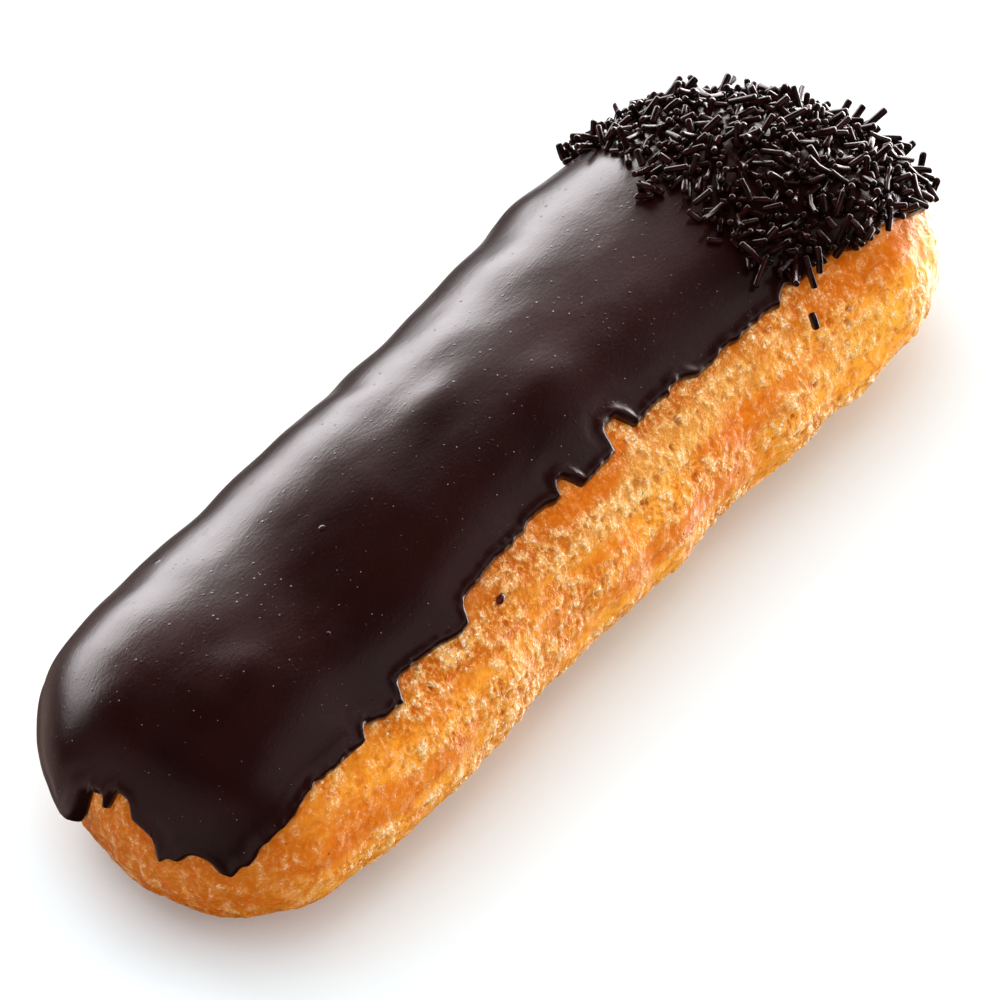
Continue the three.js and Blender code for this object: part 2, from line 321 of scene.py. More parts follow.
class Net:
    """Makes nodes in a geometry or a shader tree. Both kinds know these nodes and give the same values."""

    def __init__(self, tree):
        self.tree = tree

    def node(self, kind, **settings):
        node = self.tree.nodes.new(kind)
        for name, value in settings.items():
            setattr(node, name, value)
        return node

    def put(self, socket, value):
        if isinstance(value, bpy.types.NodeSocket):
            self.tree.links.new(value, socket)
        else:
            socket.default_value = value

    def fill(self, node, inputs):
        for name, value in inputs.items():
            self.put(node.inputs[name], value)

    def math(self, operation, a, b=0.0, clamp=False):
        node = self.node("ShaderNodeMath", operation=operation, use_clamp=clamp)
        self.put(node.inputs[0], a)
        self.put(node.inputs[1], b)
        return node.outputs[0]

    def add(self, a, b):
        return self.math("ADD", a, b)

    def mul(self, a, b):
        return self.math("MULTIPLY", a, b)

    def less(self, value):
        return self.math("SUBTRACT", 1.0, value, clamp=True)

    def step(self, value, low, high, to_low=0.0, to_high=1.0):
        """Smooth change from to_low, where value is low, to to_high."""
        node = self.node("ShaderNodeMapRange", interpolation_type="SMOOTHSTEP")
        self.fill(node, {"Value": value, "From Min": low, "From Max": high})
        self.fill(node, {"To Min": to_low, "To Max": to_high})
        return node.outputs["Result"]

    def vector(self, operation, a, b=(0, 0, 0)):
        node = self.node("ShaderNodeVectorMath", operation=operation)
        self.put(node.inputs[0], a)
        self.put(node.inputs[1], b)
        return node.outputs["Value" if operation in ("LENGTH", "DOT_PRODUCT") else "Vector"]

    def noise(self, place, size, detail=2.0, rough=0.5, output="Fac"):
        """size is the spacing of the swells in the units of place."""
        node = self.node("ShaderNodeTexNoise", noise_dimensions="3D")
        self.fill(node, {"Vector": place, "Scale": 1.0 / size, "Detail": detail, "Roughness": rough})
        return node.outputs[output]

    def cells(self, place, size):
        """Scattered middles: distance to the nearest, in sizes, and chance values that belong to it."""
        node = self.node("ShaderNodeTexVoronoi", voronoi_dimensions="3D", feature="F1")
        self.fill(node, {"Vector": place, "Scale": 1.0 / size, "Randomness": 1.0})
        return node.outputs["Distance"], self.split(node.outputs["Color"])

    def warp(self, place, amount, size):
        """place, pushed about by up to amount."""
        push = self.noise(place, size, 1.0, 0.5, "Color")
        push = self.vector("SUBTRACT", push, (0.5, 0.5, 0.5))
        push = self.vector("MULTIPLY", push, (2 * amount,) * 3)
        return self.vector("ADD", place, push)

    def split(self, place):
        node = self.node("ShaderNodeSeparateXYZ")
        self.put(node.inputs[0], place)
        return node.outputs

    def spot(self, place, centre, radii):
        """1 inside an ellipsoid, 0 outside it, with a soft edge."""
        off = self.vector("DIVIDE", self.vector("SUBTRACT", place, centre), radii)
        return self.step(self.vector("LENGTH", off), 1 - SPOT_SOFTNESS, 1 + SPOT_SOFTNESS, 1.0, 0.0)

    def spots(self, place, spots):
        """The strongest of several spots: centre, radii, strength."""
        found = 0.0
        for centre, radii, strength in spots:
            found = self.math("MAXIMUM", found, self.mul(self.spot(place, centre, radii), strength))
        return found

    def mix(self, share, a, b):
        node = self.node("ShaderNodeMix", data_type="RGBA", blend_type="MIX")
        self.put(node.inputs["Factor"], share)
        self.put(node.inputs[6], a)
        self.put(node.inputs[7], b)
        return node.outputs[2]

    def bump(self, height, strength=1.0, distance=MM):
        node = self.node("ShaderNodeBump")
        self.fill(node, {"Height": height, "Strength": strength, "Distance": distance})
        return node.outputs[0]


def burst_share(net, x, along, skin):
    """1 where the crust is a fine bubbly net, less where it stayed a smooth skin, as at both ends."""
    burst = net.step(net.noise(along, 5.0, 2.0, 0.6), 0.36, 0.58)
    near_end = net.step(x, -66.0, -44.0, 1.0, 0.0)
    burst = net.mul(burst, net.step(near_end, 0.0, 1.0, 1.0, 0.25))
    burst = net.mul(burst, net.step(x, 46.0, 60.0, 1.0, 0.5))
    return net.mul(burst, net.less(net.mul(skin, 0.85)))


def lone_pores(net, place):
    """1 in the dark pores of the smoother skin."""
    apart, chance = net.cells(net.warp(place, 0.35, 1.2), 2.2)
    size = net.step(chance[0], 0.45, 1.0, 0.0, 0.10)
    pore = net.step(net.math("SUBTRACT", apart, size), -0.06, 0.03, 1.0, 0.0)
    return net.mul(pore, net.step(size, 0.02, 0.05))


def crust_fields(net, place):
    """The crust's pattern, in millimetres. Returns heights and masks by name."""
    x, _, z = net.split(place)
    along = net.vector("MULTIPLY", place, (0.35, 1.0, 1.0))
    wavy = net.warp(place, 2.2, 7.0)
    skin = net.spots(wavy, SKIN_STREAKS)
    seam = net.spots(wavy, SEAMS)
    burst = net.math("MAXIMUM", burst_share(net, x, along, skin), seam)
    rough = net.step(burst, 0.0, 1.0, 0.2, 1.0)
    # Dimples drawn out down the side, each with a broken pale rim, and pale blisters between them.
    bent = net.vector("MULTIPLY", net.warp(place, 0.6, 1.4), (1.0, 1.0, 0.55))
    apart, chance = net.cells(bent, 1.2)
    wide = net.step(chance[0], 0.3, 1.0, 0.0, 0.5)
    inside = net.math("SUBTRACT", apart, wide)
    opened = net.step(wide, 0.05, 0.16)
    window = net.mul(net.step(inside, -0.2, 0.06, 1.0, 0.0), opened)
    rim = net.step(net.math("ABSOLUTE", net.add(inside, -0.10)), 0.0, 0.16, 1.0, 0.0)
    rim = net.mul(net.mul(rim, opened), net.step(net.noise(place, 0.9, 2.0, 0.6), 0.44, 0.62))
    pit = net.mul(net.step(inside, -0.3, 0.0, 1.0, 0.0), net.step(chance[1], 0.93, 0.97))
    blistered = net.vector("MULTIPLY", net.warp(place, 0.5, 1.3), (1.0, 1.0, 0.55))
    pale = net.step(net.noise(blistered, 1.5, 3.0, 0.55), 0.42, 0.68)
    grain = net.noise(place, 0.4, 2.0, 0.6)
    lace = net.math("MAXIMUM", net.mul(rim, 0.8), pale)
    # Painted highlight: cream-white glint specks on the pale rims and blisters, which are also raised a
    # little.
    painted_glint = net.mul(net.step(grain, 0.50, 0.62), net.step(lace, 0.3, 0.8))
    pore = net.mul(lone_pores(net, place), net.step(burst, 0.2, 0.8, 1.0, 0.15))
    # Slow swells, knobs, and creases along the bar.
    swell = net.math("SUBTRACT", net.noise(along, 4.2, 3.0, 0.55), 0.5)
    drawn = net.vector("MULTIPLY", place, (1.0, 1.0, 0.6))
    knobs = net.math("SUBTRACT", net.noise(drawn, 1.9, 2.0, 0.55), 0.5)
    stretched = net.vector("MULTIPLY", place, (0.12, 1.0, 1.0))
    crease = net.math("SUBTRACT", net.noise(stretched, 2.6, 2.0, 0.6), 0.5)
    detail = net.add(net.mul(lace, 0.3), net.mul(window, -0.2))
    detail = net.add(detail, net.mul(painted_glint, 0.08))
    detail = net.add(detail, net.mul(pit, -0.28))
    height = net.mul(detail, rough)
    height = net.add(height, net.mul(seam, net.mul(window, -0.12)))
    height = net.add(height, net.mul(pore, -0.3))
    height = net.add(height, net.mul(swell, 1.4))
    height = net.add(height, net.mul(knobs, net.step(burst, 0.0, 1.0, 0.35, 0.7)))
    height = net.add(height, net.mul(crease, 0.6))
    return {
        "x": x, "z": z, "height": height, "detail": detail, "rough": rough, "grain": grain,
        "skin": skin, "seam": seam, "window": window, "rim": rim, "pale": pale, "painted_glint": painted_glint,
        "pit": pit, "pore": pore,
    }


def sample(points, fields, names):
    """The fields' values at these points, worked out by geometry nodes."""
    mesh = bpy.data.meshes.new("sampled")
    mesh.from_pydata(points.tolist(), [], [])
    ob = bpy.data.objects.new("sampled", mesh)
    bpy.context.scene.collection.objects.link(ob)
    tree = bpy.data.node_groups.new("sampling", "GeometryNodeTree")
    tree.interface.new_socket("Geometry", in_out="INPUT", socket_type="NodeSocketGeometry")
    tree.interface.new_socket("Geometry", in_out="OUTPUT", socket_type="NodeSocketGeometry")
    net = Net(tree)
    place = tree.nodes.new("GeometryNodeInputPosition").outputs[0]
    made = fields(net, place)
    geometry = tree.nodes.new("NodeGroupInput").outputs[0]
    for name in names:
        store = net.node("GeometryNodeStoreNamedAttribute", data_type="FLOAT", domain="POINT")
        net.put(store.inputs["Geometry"], geometry)
        store.inputs["Name"].default_value = name
        net.put(store.inputs["Value"], made[name])
        geometry = store.outputs[0]
    net.put(tree.nodes.new("NodeGroupOutput").inputs[0], geometry)
    ob.modifiers.new("sampling", "NODES").node_group = tree
    shown = ob.evaluated_get(bpy.context.evaluated_depsgraph_get()).data
    values = {}
    for name in names:
        values[name] = np.empty(len(points), np.float32)
        shown.attributes[name].data.foreach_get("value", values[name])
    bpy.data.objects.remove(ob)
    bpy.data.meshes.remove(mesh)
    bpy.data.node_groups.remove(tree)
    return values


def normals_of(mesh):
    found = np.empty(len(mesh.vertices) * 3, np.float32)
    mesh.vertex_normals.foreach_get("vector", found)
    return found.reshape(-1, 3).astype(float)


def points_of(mesh):
    found = np.empty(len(mesh.vertices) * 3, np.float32)
    mesh.vertices.foreach_get("co", found)
    return found.reshape(-1, 3).astype(float) / MM


def move_to(mesh, points):
    mesh.vertices.foreach_set("co", (points * MM).astype(np.float32).ravel())
    mesh.update()


def keep_place(mesh, points):
    """Stores where each point was before it was pressed or raised, so that colour lines up with shape."""
    made = mesh.attributes.new("rest", "FLOAT_VECTOR", "POINT")
    made.data.foreach_set("vector", points.astype(np.float32).ravel())


# ---- the icing's edge ---------------------------------------------------------------------------------
def edge_angle(columns):
    reach = np.radians(reach_at(columns.rim))
    _, radius = surface(columns, reach)
    radius = radius[0]
    fall = np.zeros(len(columns.rim))
    for at, drop, size in DRIPS:
        fall += drop * np.exp(-(((columns.rim - at) / size) ** 4))
    for start, full, last, end, drop in SAGS:
        fall += drop * smoothstep(start, full, columns.rim) * (1 - smoothstep(last, end, columns.rim))
    turn = columns.rim * 2 * math.pi
    ripple = np.zeros(len(columns.rim))
    for spacing, share, phase in ((7.3, 0.8, 0.4), (4.1, 0.7, 2.2), (2.7, 0.5, 4.0), (1.7, 0.35, 1.0)):
        ripple += share * np.sin(turn / spacing + phase + 1.5 * np.sin(turn / (spacing * 3.7)))
    fall += RIPPLE * ripple * smoothstep(-20, -6, columns.rim)
    return reach + fall / radius, radius


# ---- choux bar ----------------------------------------------------------------------------------------
CRUST_COLUMNS = 560
SIDE_ROWS = 103  # where the dough shows
HIDDEN_ROWS = 8  # under the icing, and again under the bar
FOOT_ANGLE = 136  # degrees from straight up, where the side ends
COATED = 2.5  # the side goes up this far under the icing
ROW_GAP = 0.03  # radians between the side and the hidden rows


def gentle(x, humps):
    """Sum of smooth humps: (place, height, half length)."""
    return sum(height * np.exp(-(((x - at) / length) ** 2)) for at, height, length in humps)


def make_crust():
    columns = Columns(CRUST_COLUMNS)
    half = CRUST_COLUMNS // 2
    # The front, where the dough shows most, has twice the columns.
    front = np.arange(2 * half) * columns.rim[1] / 2
    fine = Columns(8 * CRUST_COLUMNS).at(np.concatenate([front, columns.rim[half:]]))
    foot = math.radians(FOOT_ANGLE)
    none = 0 * columns.rim

    def rings(spots, start, end, count):
        return surface(spots, start + (end - start) * np.linspace(0, 1, count)[:, None])[0]

    def top_of(spots):
        edge, radius = edge_angle(spots)
        return edge - COATED / radius

    cap = rings(columns, none, top_of(columns) - ROW_GAP, HIDDEN_ROWS)
    side = rings(fine, top_of(fine), foot + 0 * fine.rim, SIDE_ROWS)
    sole = rings(columns, foot + ROW_GAP + none, math.pi + none, HIDDEN_ROWS)
    sheet = Sheet(columns.count)
    cap_foot = sheet.hang(sheet.folded_row(cap[0]), cap[1:])
    side_top = sheet.row(side[0])
    sheet.zip(cap_foot, side_top)
    side_foot = sheet.hang(side_top, side[1:])
    sole_edge = sheet.row(sole[0])
    sheet.zip(sole_edge, side_foot, flip=True)
    sheet.join(sheet.hang(sole_edge, sole[1:-1]), sheet.folded_row(sole[-1]))
    ob = sheet.build("choux_crust")

    base, normals = points_of(ob.data), normals_of(ob.data)
    relief = sample(base, crust_fields, ["height"])["height"]
    relief = relief * smoothstep(0.0, 1.5, base[:, 2])  # the underside stays flat
    relief = relief * (1 - 0.5 * smoothstep(0.6, 0.9, normals[:, 2]))  # and the icing lies on a calmer dough
    swell = gentle(base[:, 0], FRONT_SWELL)
    swell = swell * smoothstep(0.1, 0.9, -normals[:, 1]) * smoothstep(30, 16, base[:, 2])
    for at, size, depth in HOLLOWS:
        swell = swell - depth * np.exp(-((np.linalg.norm(base - at, axis=-1) / size) ** 2))
    moved = base + normals * (relief + swell)[:, None]
    moved[:, 2] = np.maximum(0, moved[:, 2])
    move_to(ob.data, moved)
    keep_place(ob.data, base)
    return ob


# ---- icing --------------------------------------------------------------------------------------------
ICING_COLUMNS = 1600
TOP_ROWS = 39
EDGE_SEARCH = 20  # columns to either side among which the nearest stretch of edge is looked for
EDGE_BLUR = 30  # columns over which the edge counts as one line, further in
BEDDED = 0.6  # the icing's underside lies this deep in the dough
# The last rows lie at these distances from the edge.
EDGE_STEPS = (4.0, 3.0, 2.3, 1.8, 1.4, 1.1, 0.85, 0.65, 0.48, 0.34, 0.22, 0.12, 0.04, 0.0)


def icing_waves(net, place):
    """Slow unevenness of the icing's surface, in millimetres."""
    along = net.vector("MULTIPLY", place, (0.55, 1.0, 1.0))
    slow = net.math("SUBTRACT", net.noise(along, 17.0, 1.0, 0.45), 0.5)
    small = net.math("SUBTRACT", net.noise(along, 5.0, 1.0, 0.5), 0.5)
    rim = net.math("SUBTRACT", net.noise(place, 1.9, 1.0, 0.5), 0.5)
    return {"waves": net.add(net.mul(slow, 0.7), net.mul(small, 0.16)), "rim": rim}


def edge_distance(points, rim_points):
    """Distance from each point of a grid (rows, columns) to the edge line nearby."""
    best = np.full(points.shape[:2], 99.0)
    for shift in range(-EDGE_SEARCH, EDGE_SEARCH + 1):
        a = np.roll(rim_points, shift, axis=0)
        b = np.roll(rim_points, shift - 1, axis=0)
        along = b - a
        t = ((points - a) * along).sum(-1) / np.maximum((along**2).sum(-1), 1e-9)
        near = a + np.clip(t, 0, 1)[..., None] * along
        best = np.minimum(best, np.linalg.norm(points - near, axis=-1))
    return best


def smoothed(grid, spread):
    """Rows of a grid blurred round the rim; spread is in columns."""
    reach = int(3 * spread)
    shifts = np.arange(-reach, reach + 1)
    weights = np.exp(-0.5 * (shifts / spread) ** 2)
    return sum(w * np.roll(grid, k, axis=-1) for k, w in zip(shifts, weights / weights.sum()))


def icing_lift(distance, inland, rim, rim_waves):
    """Height of the icing above the dough: a thick rounded edge with a slight dip behind it."""
    behind = smoothstep(-4, -14, rim)
    lumps = 0.7 + 1.0 * np.exp(-(((rim - 32) / 10) ** 4))
    size = RIM_ROUND * (1 + 0.5 * behind + 0.9 * np.exp(-(((rim - LOBE[0]) / LOBE[1]) ** 4)))
    round_off = np.sqrt(np.clip(1 - (1 - np.clip(distance / size, 0, 1)) ** 2, 0, 1))
    body = RIM_TOP + (ICING_TOP - RIM_TOP) * smoothstep(0.6, 12.0, inland)
    bead = (0.38 + lumps * rim_waves * (1 - behind)) * np.exp(-(((distance - 0.8) / 0.6) ** 2))
    bead = bead + behind * 0.25 * np.exp(-(((distance - 1.2) / 0.8) ** 2))
    dip = (0.14 + 0.2 * behind) * np.exp(-(((distance - 2.4 - 0.6 * behind) / 0.9) ** 2))
    return (body + bead - dip) * round_off - 0.25 * (1 - round_off)


def icing_shape(points):
    """Humps and hollows of the icing at these points."""
    x, y = points[..., 0], points[..., 1]
    lift = 0
    for at_x, at_y, length, breadth, height in SWELLS:
        lift = lift + height * np.exp(-(((x - at_x) / length) ** 2) - ((y - at_y) / breadth) ** 2)
    return lift + gentle(x, BACK_SWELL) * smoothstep(8, 17, y)


def make_icing():
    columns = Columns(ICING_COLUMNS)
    edge, radius = edge_angle(columns)
    start = edge - EDGE_STEPS[0] / radius
    angles = [start * row / TOP_ROWS for row in range(TOP_ROWS)]
    angles = np.array(angles + [edge - step / radius for step in EDGE_STEPS])
    bare, _ = surface(columns, angles)
    distance = edge_distance(bare, bare[-1])
    distance[-1] = 0
    waves = sample(bare.reshape(-1, 3), icing_waves, ["waves", "rim"])
    waves = {name: found.reshape(distance.shape) for name, found in waves.items()}
    inland = np.maximum(0, (smoothed(edge, EDGE_BLUR) - angles) * radius)
    lift = icing_lift(distance, inland, columns.rim, waves["rim"])
    at, half, extra = LOBE
    lobe = extra * np.exp(-(((columns.rim - at) / half) ** 2)) * smoothstep(0.0, 2.0, distance)
    lift = lift + lobe * smoothstep(math.radians(10), math.radians(72), angles)
    lift = lift + (waves["waves"] + icing_shape(bare)) * smoothstep(1.0, 6.0, inland)
    top, _ = surface(columns, angles, lift)
    under_angles = [angles[0] * 0, start * 0.5, start * 0.9, edge - 1.5 / radius, edge - 0.4 / radius]
    under, _ = surface(columns, np.array(under_angles), -BEDDED)
    sheet = Sheet(columns.count)
    edge_row = sheet.hang(sheet.folded_row(top[0]), top[1:])
    sheet.join(sheet.hang(edge_row, under[:0:-1]), sheet.folded_row(under[0]))
    ob = sheet.build("chocolate_coat")
    keep_place(ob.data, points_of(ob.data))
    return ob


# ---- vermicelli ---------------------------------------------------------------------------------------
def segment_gap(a0, a1, b0, b1):
    """Shortest distance from the stick a0-a1 to each of the sticks b0-b1."""
    u, v, w = a1 - a0, b1 - b0, a0 - b0
    a, b, c = u @ u, (v * u).sum(-1), (v * v).sum(-1)
    d, e = (w * u).sum(-1), (w * v).sum(-1)
    det = np.maximum(a * c - b * b, 1e-9)
    s = np.clip((b * e - c * d) / det, 0, 1)
    t = np.clip((b * s + e) / c, 0, 1)
    s = np.clip((b * t - d) / a, 0, 1)
    return np.linalg.norm(w + s[:, None] * u - t[:, None] * v, axis=-1)


def coat_place(columns, rim, angle):
    """Points and normals of the icing's surface at these places, and the size of a patch at each."""
    spots = columns.at(rim)
    here = surface(spots, angle, ICING_TOP)[0][0]
    further = surface(columns.at(rim + 0.3), angle, ICING_TOP)[0][0]
    lower = surface(spots, angle + 0.01, ICING_TOP)[0][0]
    normal = np.cross(lower - here, further - here)
    area = np.linalg.norm(normal, axis=-1, keepdims=True)
    return here, normal / area, area[:, 0]


def sow(columns, count):
    """Candidate places on the far end, thinning out towards the bare icing."""
    rim = rng.uniform(SOWN_RIM, columns.rim_length, count) * rng.choice([-1, 1], count)
    edge, radius = edge_angle(columns.at(rim))
    margin = 0.4 + 2.2 * smoothstep(148, 160, np.abs(rim))  # of bare icing along the edge
    angle = rng.uniform(0.02, 1.0, count) * (edge - margin / radius)
    here, normal, area = coat_place(columns, rim, angle)
    y = here[:, 1]
    border = SOWN_FROM + np.sin(y * 0.42 + 1.0) + rng.normal(0, 0.8, count) + 0.35 * np.maximum(0, y - 9)
    stragglers = (rng.random(count) < 0.05) & (np.abs(y + 3) < 11)
    border = border - 3.5 * stragglers
    keep = here[:, 0] > border + rng.exponential(1.3, count)
    keep &= rng.uniform(0, np.percentile(area, 98), count) < area
    return here[keep], normal[keep]


def tangents(normal):
    first = np.cross(normal, [0.3, 1.0, 0.2])
    first /= np.linalg.norm(first)
    return first, np.cross(normal, first)


def lay_stick(place, normal, starts, ends, radii):
    """A stick over this place: its rise, ends and radius. None where it would lie too high."""
    first, second = tangents(normal)
    turn = rng.uniform(0, math.pi)
    radius = rng.uniform(*VERMICELLI_RADIUS)
    length = np.clip(rng.normal(LENGTH_MEAN, LENGTH_SPREAD), *VERMICELLI_LENGTH)
    flat = math.cos(turn) * first + math.sin(turn) * second
    tilt = rng.normal(0, 0.25) if rng.random() > 0.18 else rng.uniform(0.4, 1.25)
    reach = length / 2 - radius
    for rise in np.arange(0, PILE_HEIGHT, RISE_STEP):
        lean = tilt + (rng.normal(0, 0.3) if rise else 0)
        axis = math.cos(lean) * flat + math.sin(lean) * normal
        centre = place + normal * (radius * 0.75 + rise + abs(math.sin(lean)) * reach * 0.9)
        start, end = centre - axis * reach, centre + axis * reach
        near = np.linalg.norm(starts + ends - 2 * centre, axis=-1) < 10.0
        gap = segment_gap(start, end, starts[near], ends[near])
        if (gap > (radii[near] + radius) * TOUCH).all():
            return rise, start, end, radius
    return None


def lay_vermicelli():
    """Drops sticks one by one. Each lies on the icing or on the sticks already there."""
    places, normals = sow(Columns(CRUST_COLUMNS), VERMICELLI * 60)
    starts, ends, radii = np.zeros((0, 3)), np.zeros((0, 3)), np.zeros(0)
    used = 0
    while len(radii) < VERMICELLI and used + TRIES <= len(places):
        tried = range(used, used + TRIES)
        found = [lay_stick(places[k], normals[k], starts, ends, radii) for k in tried]
        found = [stick for stick in found if stick]
        used += TRIES
        if found:
            _, start, end, radius = min(found, key=lambda stick: stick[0])
            starts, ends, radii = np.vstack([starts, start]), np.vstack([ends, end]), np.append(radii, radius)
    return np.vstack([starts, STRAY[0]]), np.vstack([ends, STRAY[1]]), np.append(radii, STRAY[2])


AROUND = 10
STICK_RINGS = ((0.0, 0.0), (0.05, 0.62), (0.30, 0.92), (0.75, 1.0))  # along in radii from the tip, thickness


def stick_mesh(start, end, radius):
    """A short stick with softly broken ends and a slight bend."""
    axis = end - start
    length = np.linalg.norm(axis)
    axis = axis / length
    tip0, tip1 = start - axis * radius, end + axis * radius
    full = length + 2 * radius
    first, second = tangents(axis)
    bend = rng.normal(0, 0.035) * full
    rings = [(along * radius, thick) for along, thick in STICK_RINGS[1:]]
    rings.append((full / 2, rng.uniform(0.95, 1.05)))
    rings += [(full - along * radius, thick) for along, thick in STICK_RINGS[:0:-1]]
    turn = 2 * math.pi * np.arange(AROUND) / AROUND
    rim = np.cos(turn)[:, None] * first + np.sin(turn)[:, None] * second
    points = [tip0[None]]
    for along, thick in rings:
        bow = bend * (1 - (2 * along / full - 1) ** 2)
        points.append(tip0 + axis * along + first * bow + rim * (radius * thick))
    points.append(tip1[None])
    faces = []
    for i in range(AROUND):
        j = (i + 1) % AROUND
        faces.append([0, 1 + j, 1 + i])
        for ring in range(len(rings) - 1):
            a = 1 + ring * AROUND
            faces.append([a + i, a + j, a + AROUND + j, a + AROUND + i])
        last = 1 + (len(rings) - 1) * AROUND
        faces.append([last + i, last + j, last + AROUND])
    return np.concatenate(points), faces


def make_vermicelli():
    starts, ends, radii = lay_vermicelli()
    points, faces, total = [], [], 0
    for start, end, radius in zip(starts, ends, radii):
        stick, stick_faces = stick_mesh(start, end, radius)
        points.append(stick)
        faces += [[c + total for c in face] for face in stick_faces]
        total += len(stick)
    return make_object("chocolate_vermicelli", np.concatenate(points), faces)


# ---- a fleck of chocolate that fell on the crust --------------------------------------------------------
FLECK = {"at": (-20.9, -18.5, 30.3), "radii": (0.84, 0.62, 0.42), "turn": 0.5}


def make_fleck(crust):
    spots, normals = points_of(crust.data), normals_of(crust.data)
    nearest = np.linalg.norm(spots - FLECK["at"], axis=-1).argmin()
    middle, normal = spots[nearest], normals[nearest]
    first, second = tangents(normal)
    cos, sin = math.cos(FLECK["turn"]), math.sin(FLECK["turn"])
    first, second = cos * first + sin * second, cos * second - sin * first
    around, rings = 18, 9
    points, faces = [], []
    for ring in range(rings + 1):
        up = math.pi * ring / rings
        for k in range(around if 0 < ring < rings else 1):
            turn = 2 * math.pi * k / around
            way = np.array([math.sin(up) * math.cos(turn), math.sin(up) * math.sin(turn), math.cos(up)])
            lump = 1 + 0.07 * math.sin(2 * turn + 1.0) * math.sin(up) + 0.05 * math.sin(4 * turn + 3 * up)
            off = way * FLECK["radii"] * lump
            points.append(middle + off[0] * first + off[1] * second + (off[2] + 0.08) * normal)
    for k in range(around):
        n = (k + 1) % around
        faces.append([0, 1 + k, 1 + n])
        for ring in range(rings - 2):
            a = 1 + ring * around
            faces.append([a + k, a + around + k, a + around + n, a + n])
        a = 1 + (rings - 2) * around
        faces.append([a + k, a + around, a + n])
    return make_object("chocolate_fleck", np.array(points), faces)


# ---- materials ----------------------------------------------------------------------------------------
def new_material(name):
    material = bpy.data.materials.new(name)
    material.use_nodes = True
    net = Net(material.node_tree)
    shader = next(n for n in net.tree.nodes if n.type == "BSDF_PRINCIPLED")
    return material, net, shader


def rest_place(net):
    return net.node("ShaderNodeAttribute", attribute_name="rest").outputs["Vector"]


def colour(red, green, blue):
    """A colour as seen on a screen (0 to 255), in linear light."""
    shares = np.array([red, green, blue]) / 255
    linear = np.where(shares <= 0.04045, shares / 12.92, ((shares + 0.055) / 1.055) ** 2.4)
    return (*linear.tolist(), 1.0)


def crust_layers(net, place, fields):
    """What lies over the crust's ground colour, from the lowest up: cover, strength, colour."""
    x, z, rough = fields["x"], fields["z"], fields["rough"]
    mottle = net.noise(place, 1.7, 3.0, 0.65)
    crumb = net.noise(place, 0.6, 2.0, 0.6)
    # Pale marks fade towards the icing, which is part of the painted shade under its edge.
    light = net.mul(rough, net.step(z, 25.0, 33.0, 1.0, 0.7))
    far_side = net.mul(net.step(x, 34.0, 56.0), net.step(z, 28.0, 22.0, 0.0, 1.0))
    # Painted light: the crust's side is lighter and more golden low down, where light falls on the upright
    # side.
    painted_light_low_side = net.mul(net.step(z, 20.0, 10.0, 0.0, 0.6), net.step(x, -45.0, -25.0))
    return [
        (far_side, 1.0, colour(250, 166, 46)),
        (painted_light_low_side, 1.0, colour(252, 168, 54)),
        (net.step(x, -71.0, -56.0, 1.0, 0.0), 0.85, colour(170, 78, 4)),  # the near tip
        # Darker brown next to the icing: partly a browner crust, partly painted shade under the icing's edge.
        (net.step(z, 23.0, 31.0), 0.85, colour(168, 76, 5)),  # next to the icing
        (fields["skin"], 0.75, colour(212, 104, 6)),
        (net.step(mottle, 0.42, 0.72), 0.7, colour(192, 84, 2)),
        (net.mul(fields["window"], rough), 0.7, colour(190, 80, 2)),
        (net.mul(net.step(crumb, 0.50, 0.68), rough), 0.4, colour(250, 196, 112)),
        (net.mul(net.step(crumb, 0.48, 0.30), rough), 0.55, colour(172, 70, 2)),
        # Painted shade: the sunk pits are coloured dark as if in shadow.
        (net.mul(fields["pit"], rough), 0.85, colour(150, 52, 3)),
        (net.mul(fields["pale"], light), 0.72, colour(250, 188, 98)),
        (net.mul(fields["rim"], light), 0.5, colour(254, 210, 140)),
        # Painted highlight: cream-white glints on the pale rims and blisters.
        (net.mul(fields["painted_glint"], light), 0.85, colour(255, 240, 212)),
        # Painted shade: the sunk pores are coloured dark as if in shadow.
        (fields["pore"], 0.8, colour(150, 58, 4)),
        (fields["seam"], 0.25, colour(246, 190, 96)),
    ]


def crust_material():
    material, net, shader = new_material("choux")
    place = rest_place(net)
    fields = crust_fields(net, place)
    tone = net.noise(net.vector("MULTIPLY", place, (0.4, 1.0, 1.0)), 7.0, 3.0, 0.6)
    look = net.mix(net.step(tone, 0.32, 0.62), colour(206, 102, 6), colour(238, 152, 42))
    for cover, strength, shade in crust_layers(net, place, fields):
        look = net.mix(net.mul(cover, strength), look, shade)
    gloss = net.noise(place, 1.1, 2.0, 0.6)
    hollow = net.math("MAXIMUM", net.mul(fields["pit"], fields["rough"]), fields["pore"])
    fine = net.math("SUBTRACT", fields["grain"], 0.5)
    height = net.mul(net.add(net.mul(fields["detail"], 0.55), net.mul(fine, 0.18)), fields["rough"])
    height = net.add(height, net.mul(fine, 0.04))
    height = net.math("SUBTRACT", height, net.mul(fields["pore"], 0.2))
    net.fill(shader, {
        "Base Color": look,
        "Roughness": net.add(net.step(gloss, 0.3, 0.7, 0.16, 0.34), net.mul(hollow, 0.5)),
        "Specular IOR Level": 0.13,
        "Specular Tint": (1.0, 0.82, 0.55, 1),
        "Subsurface Weight": 0.08,
        "Subsurface Radius": (1.0, 0.4, 0.12),
        "Subsurface Scale": 0.0006,
        "Normal": net.bump(height),
    })
    return material


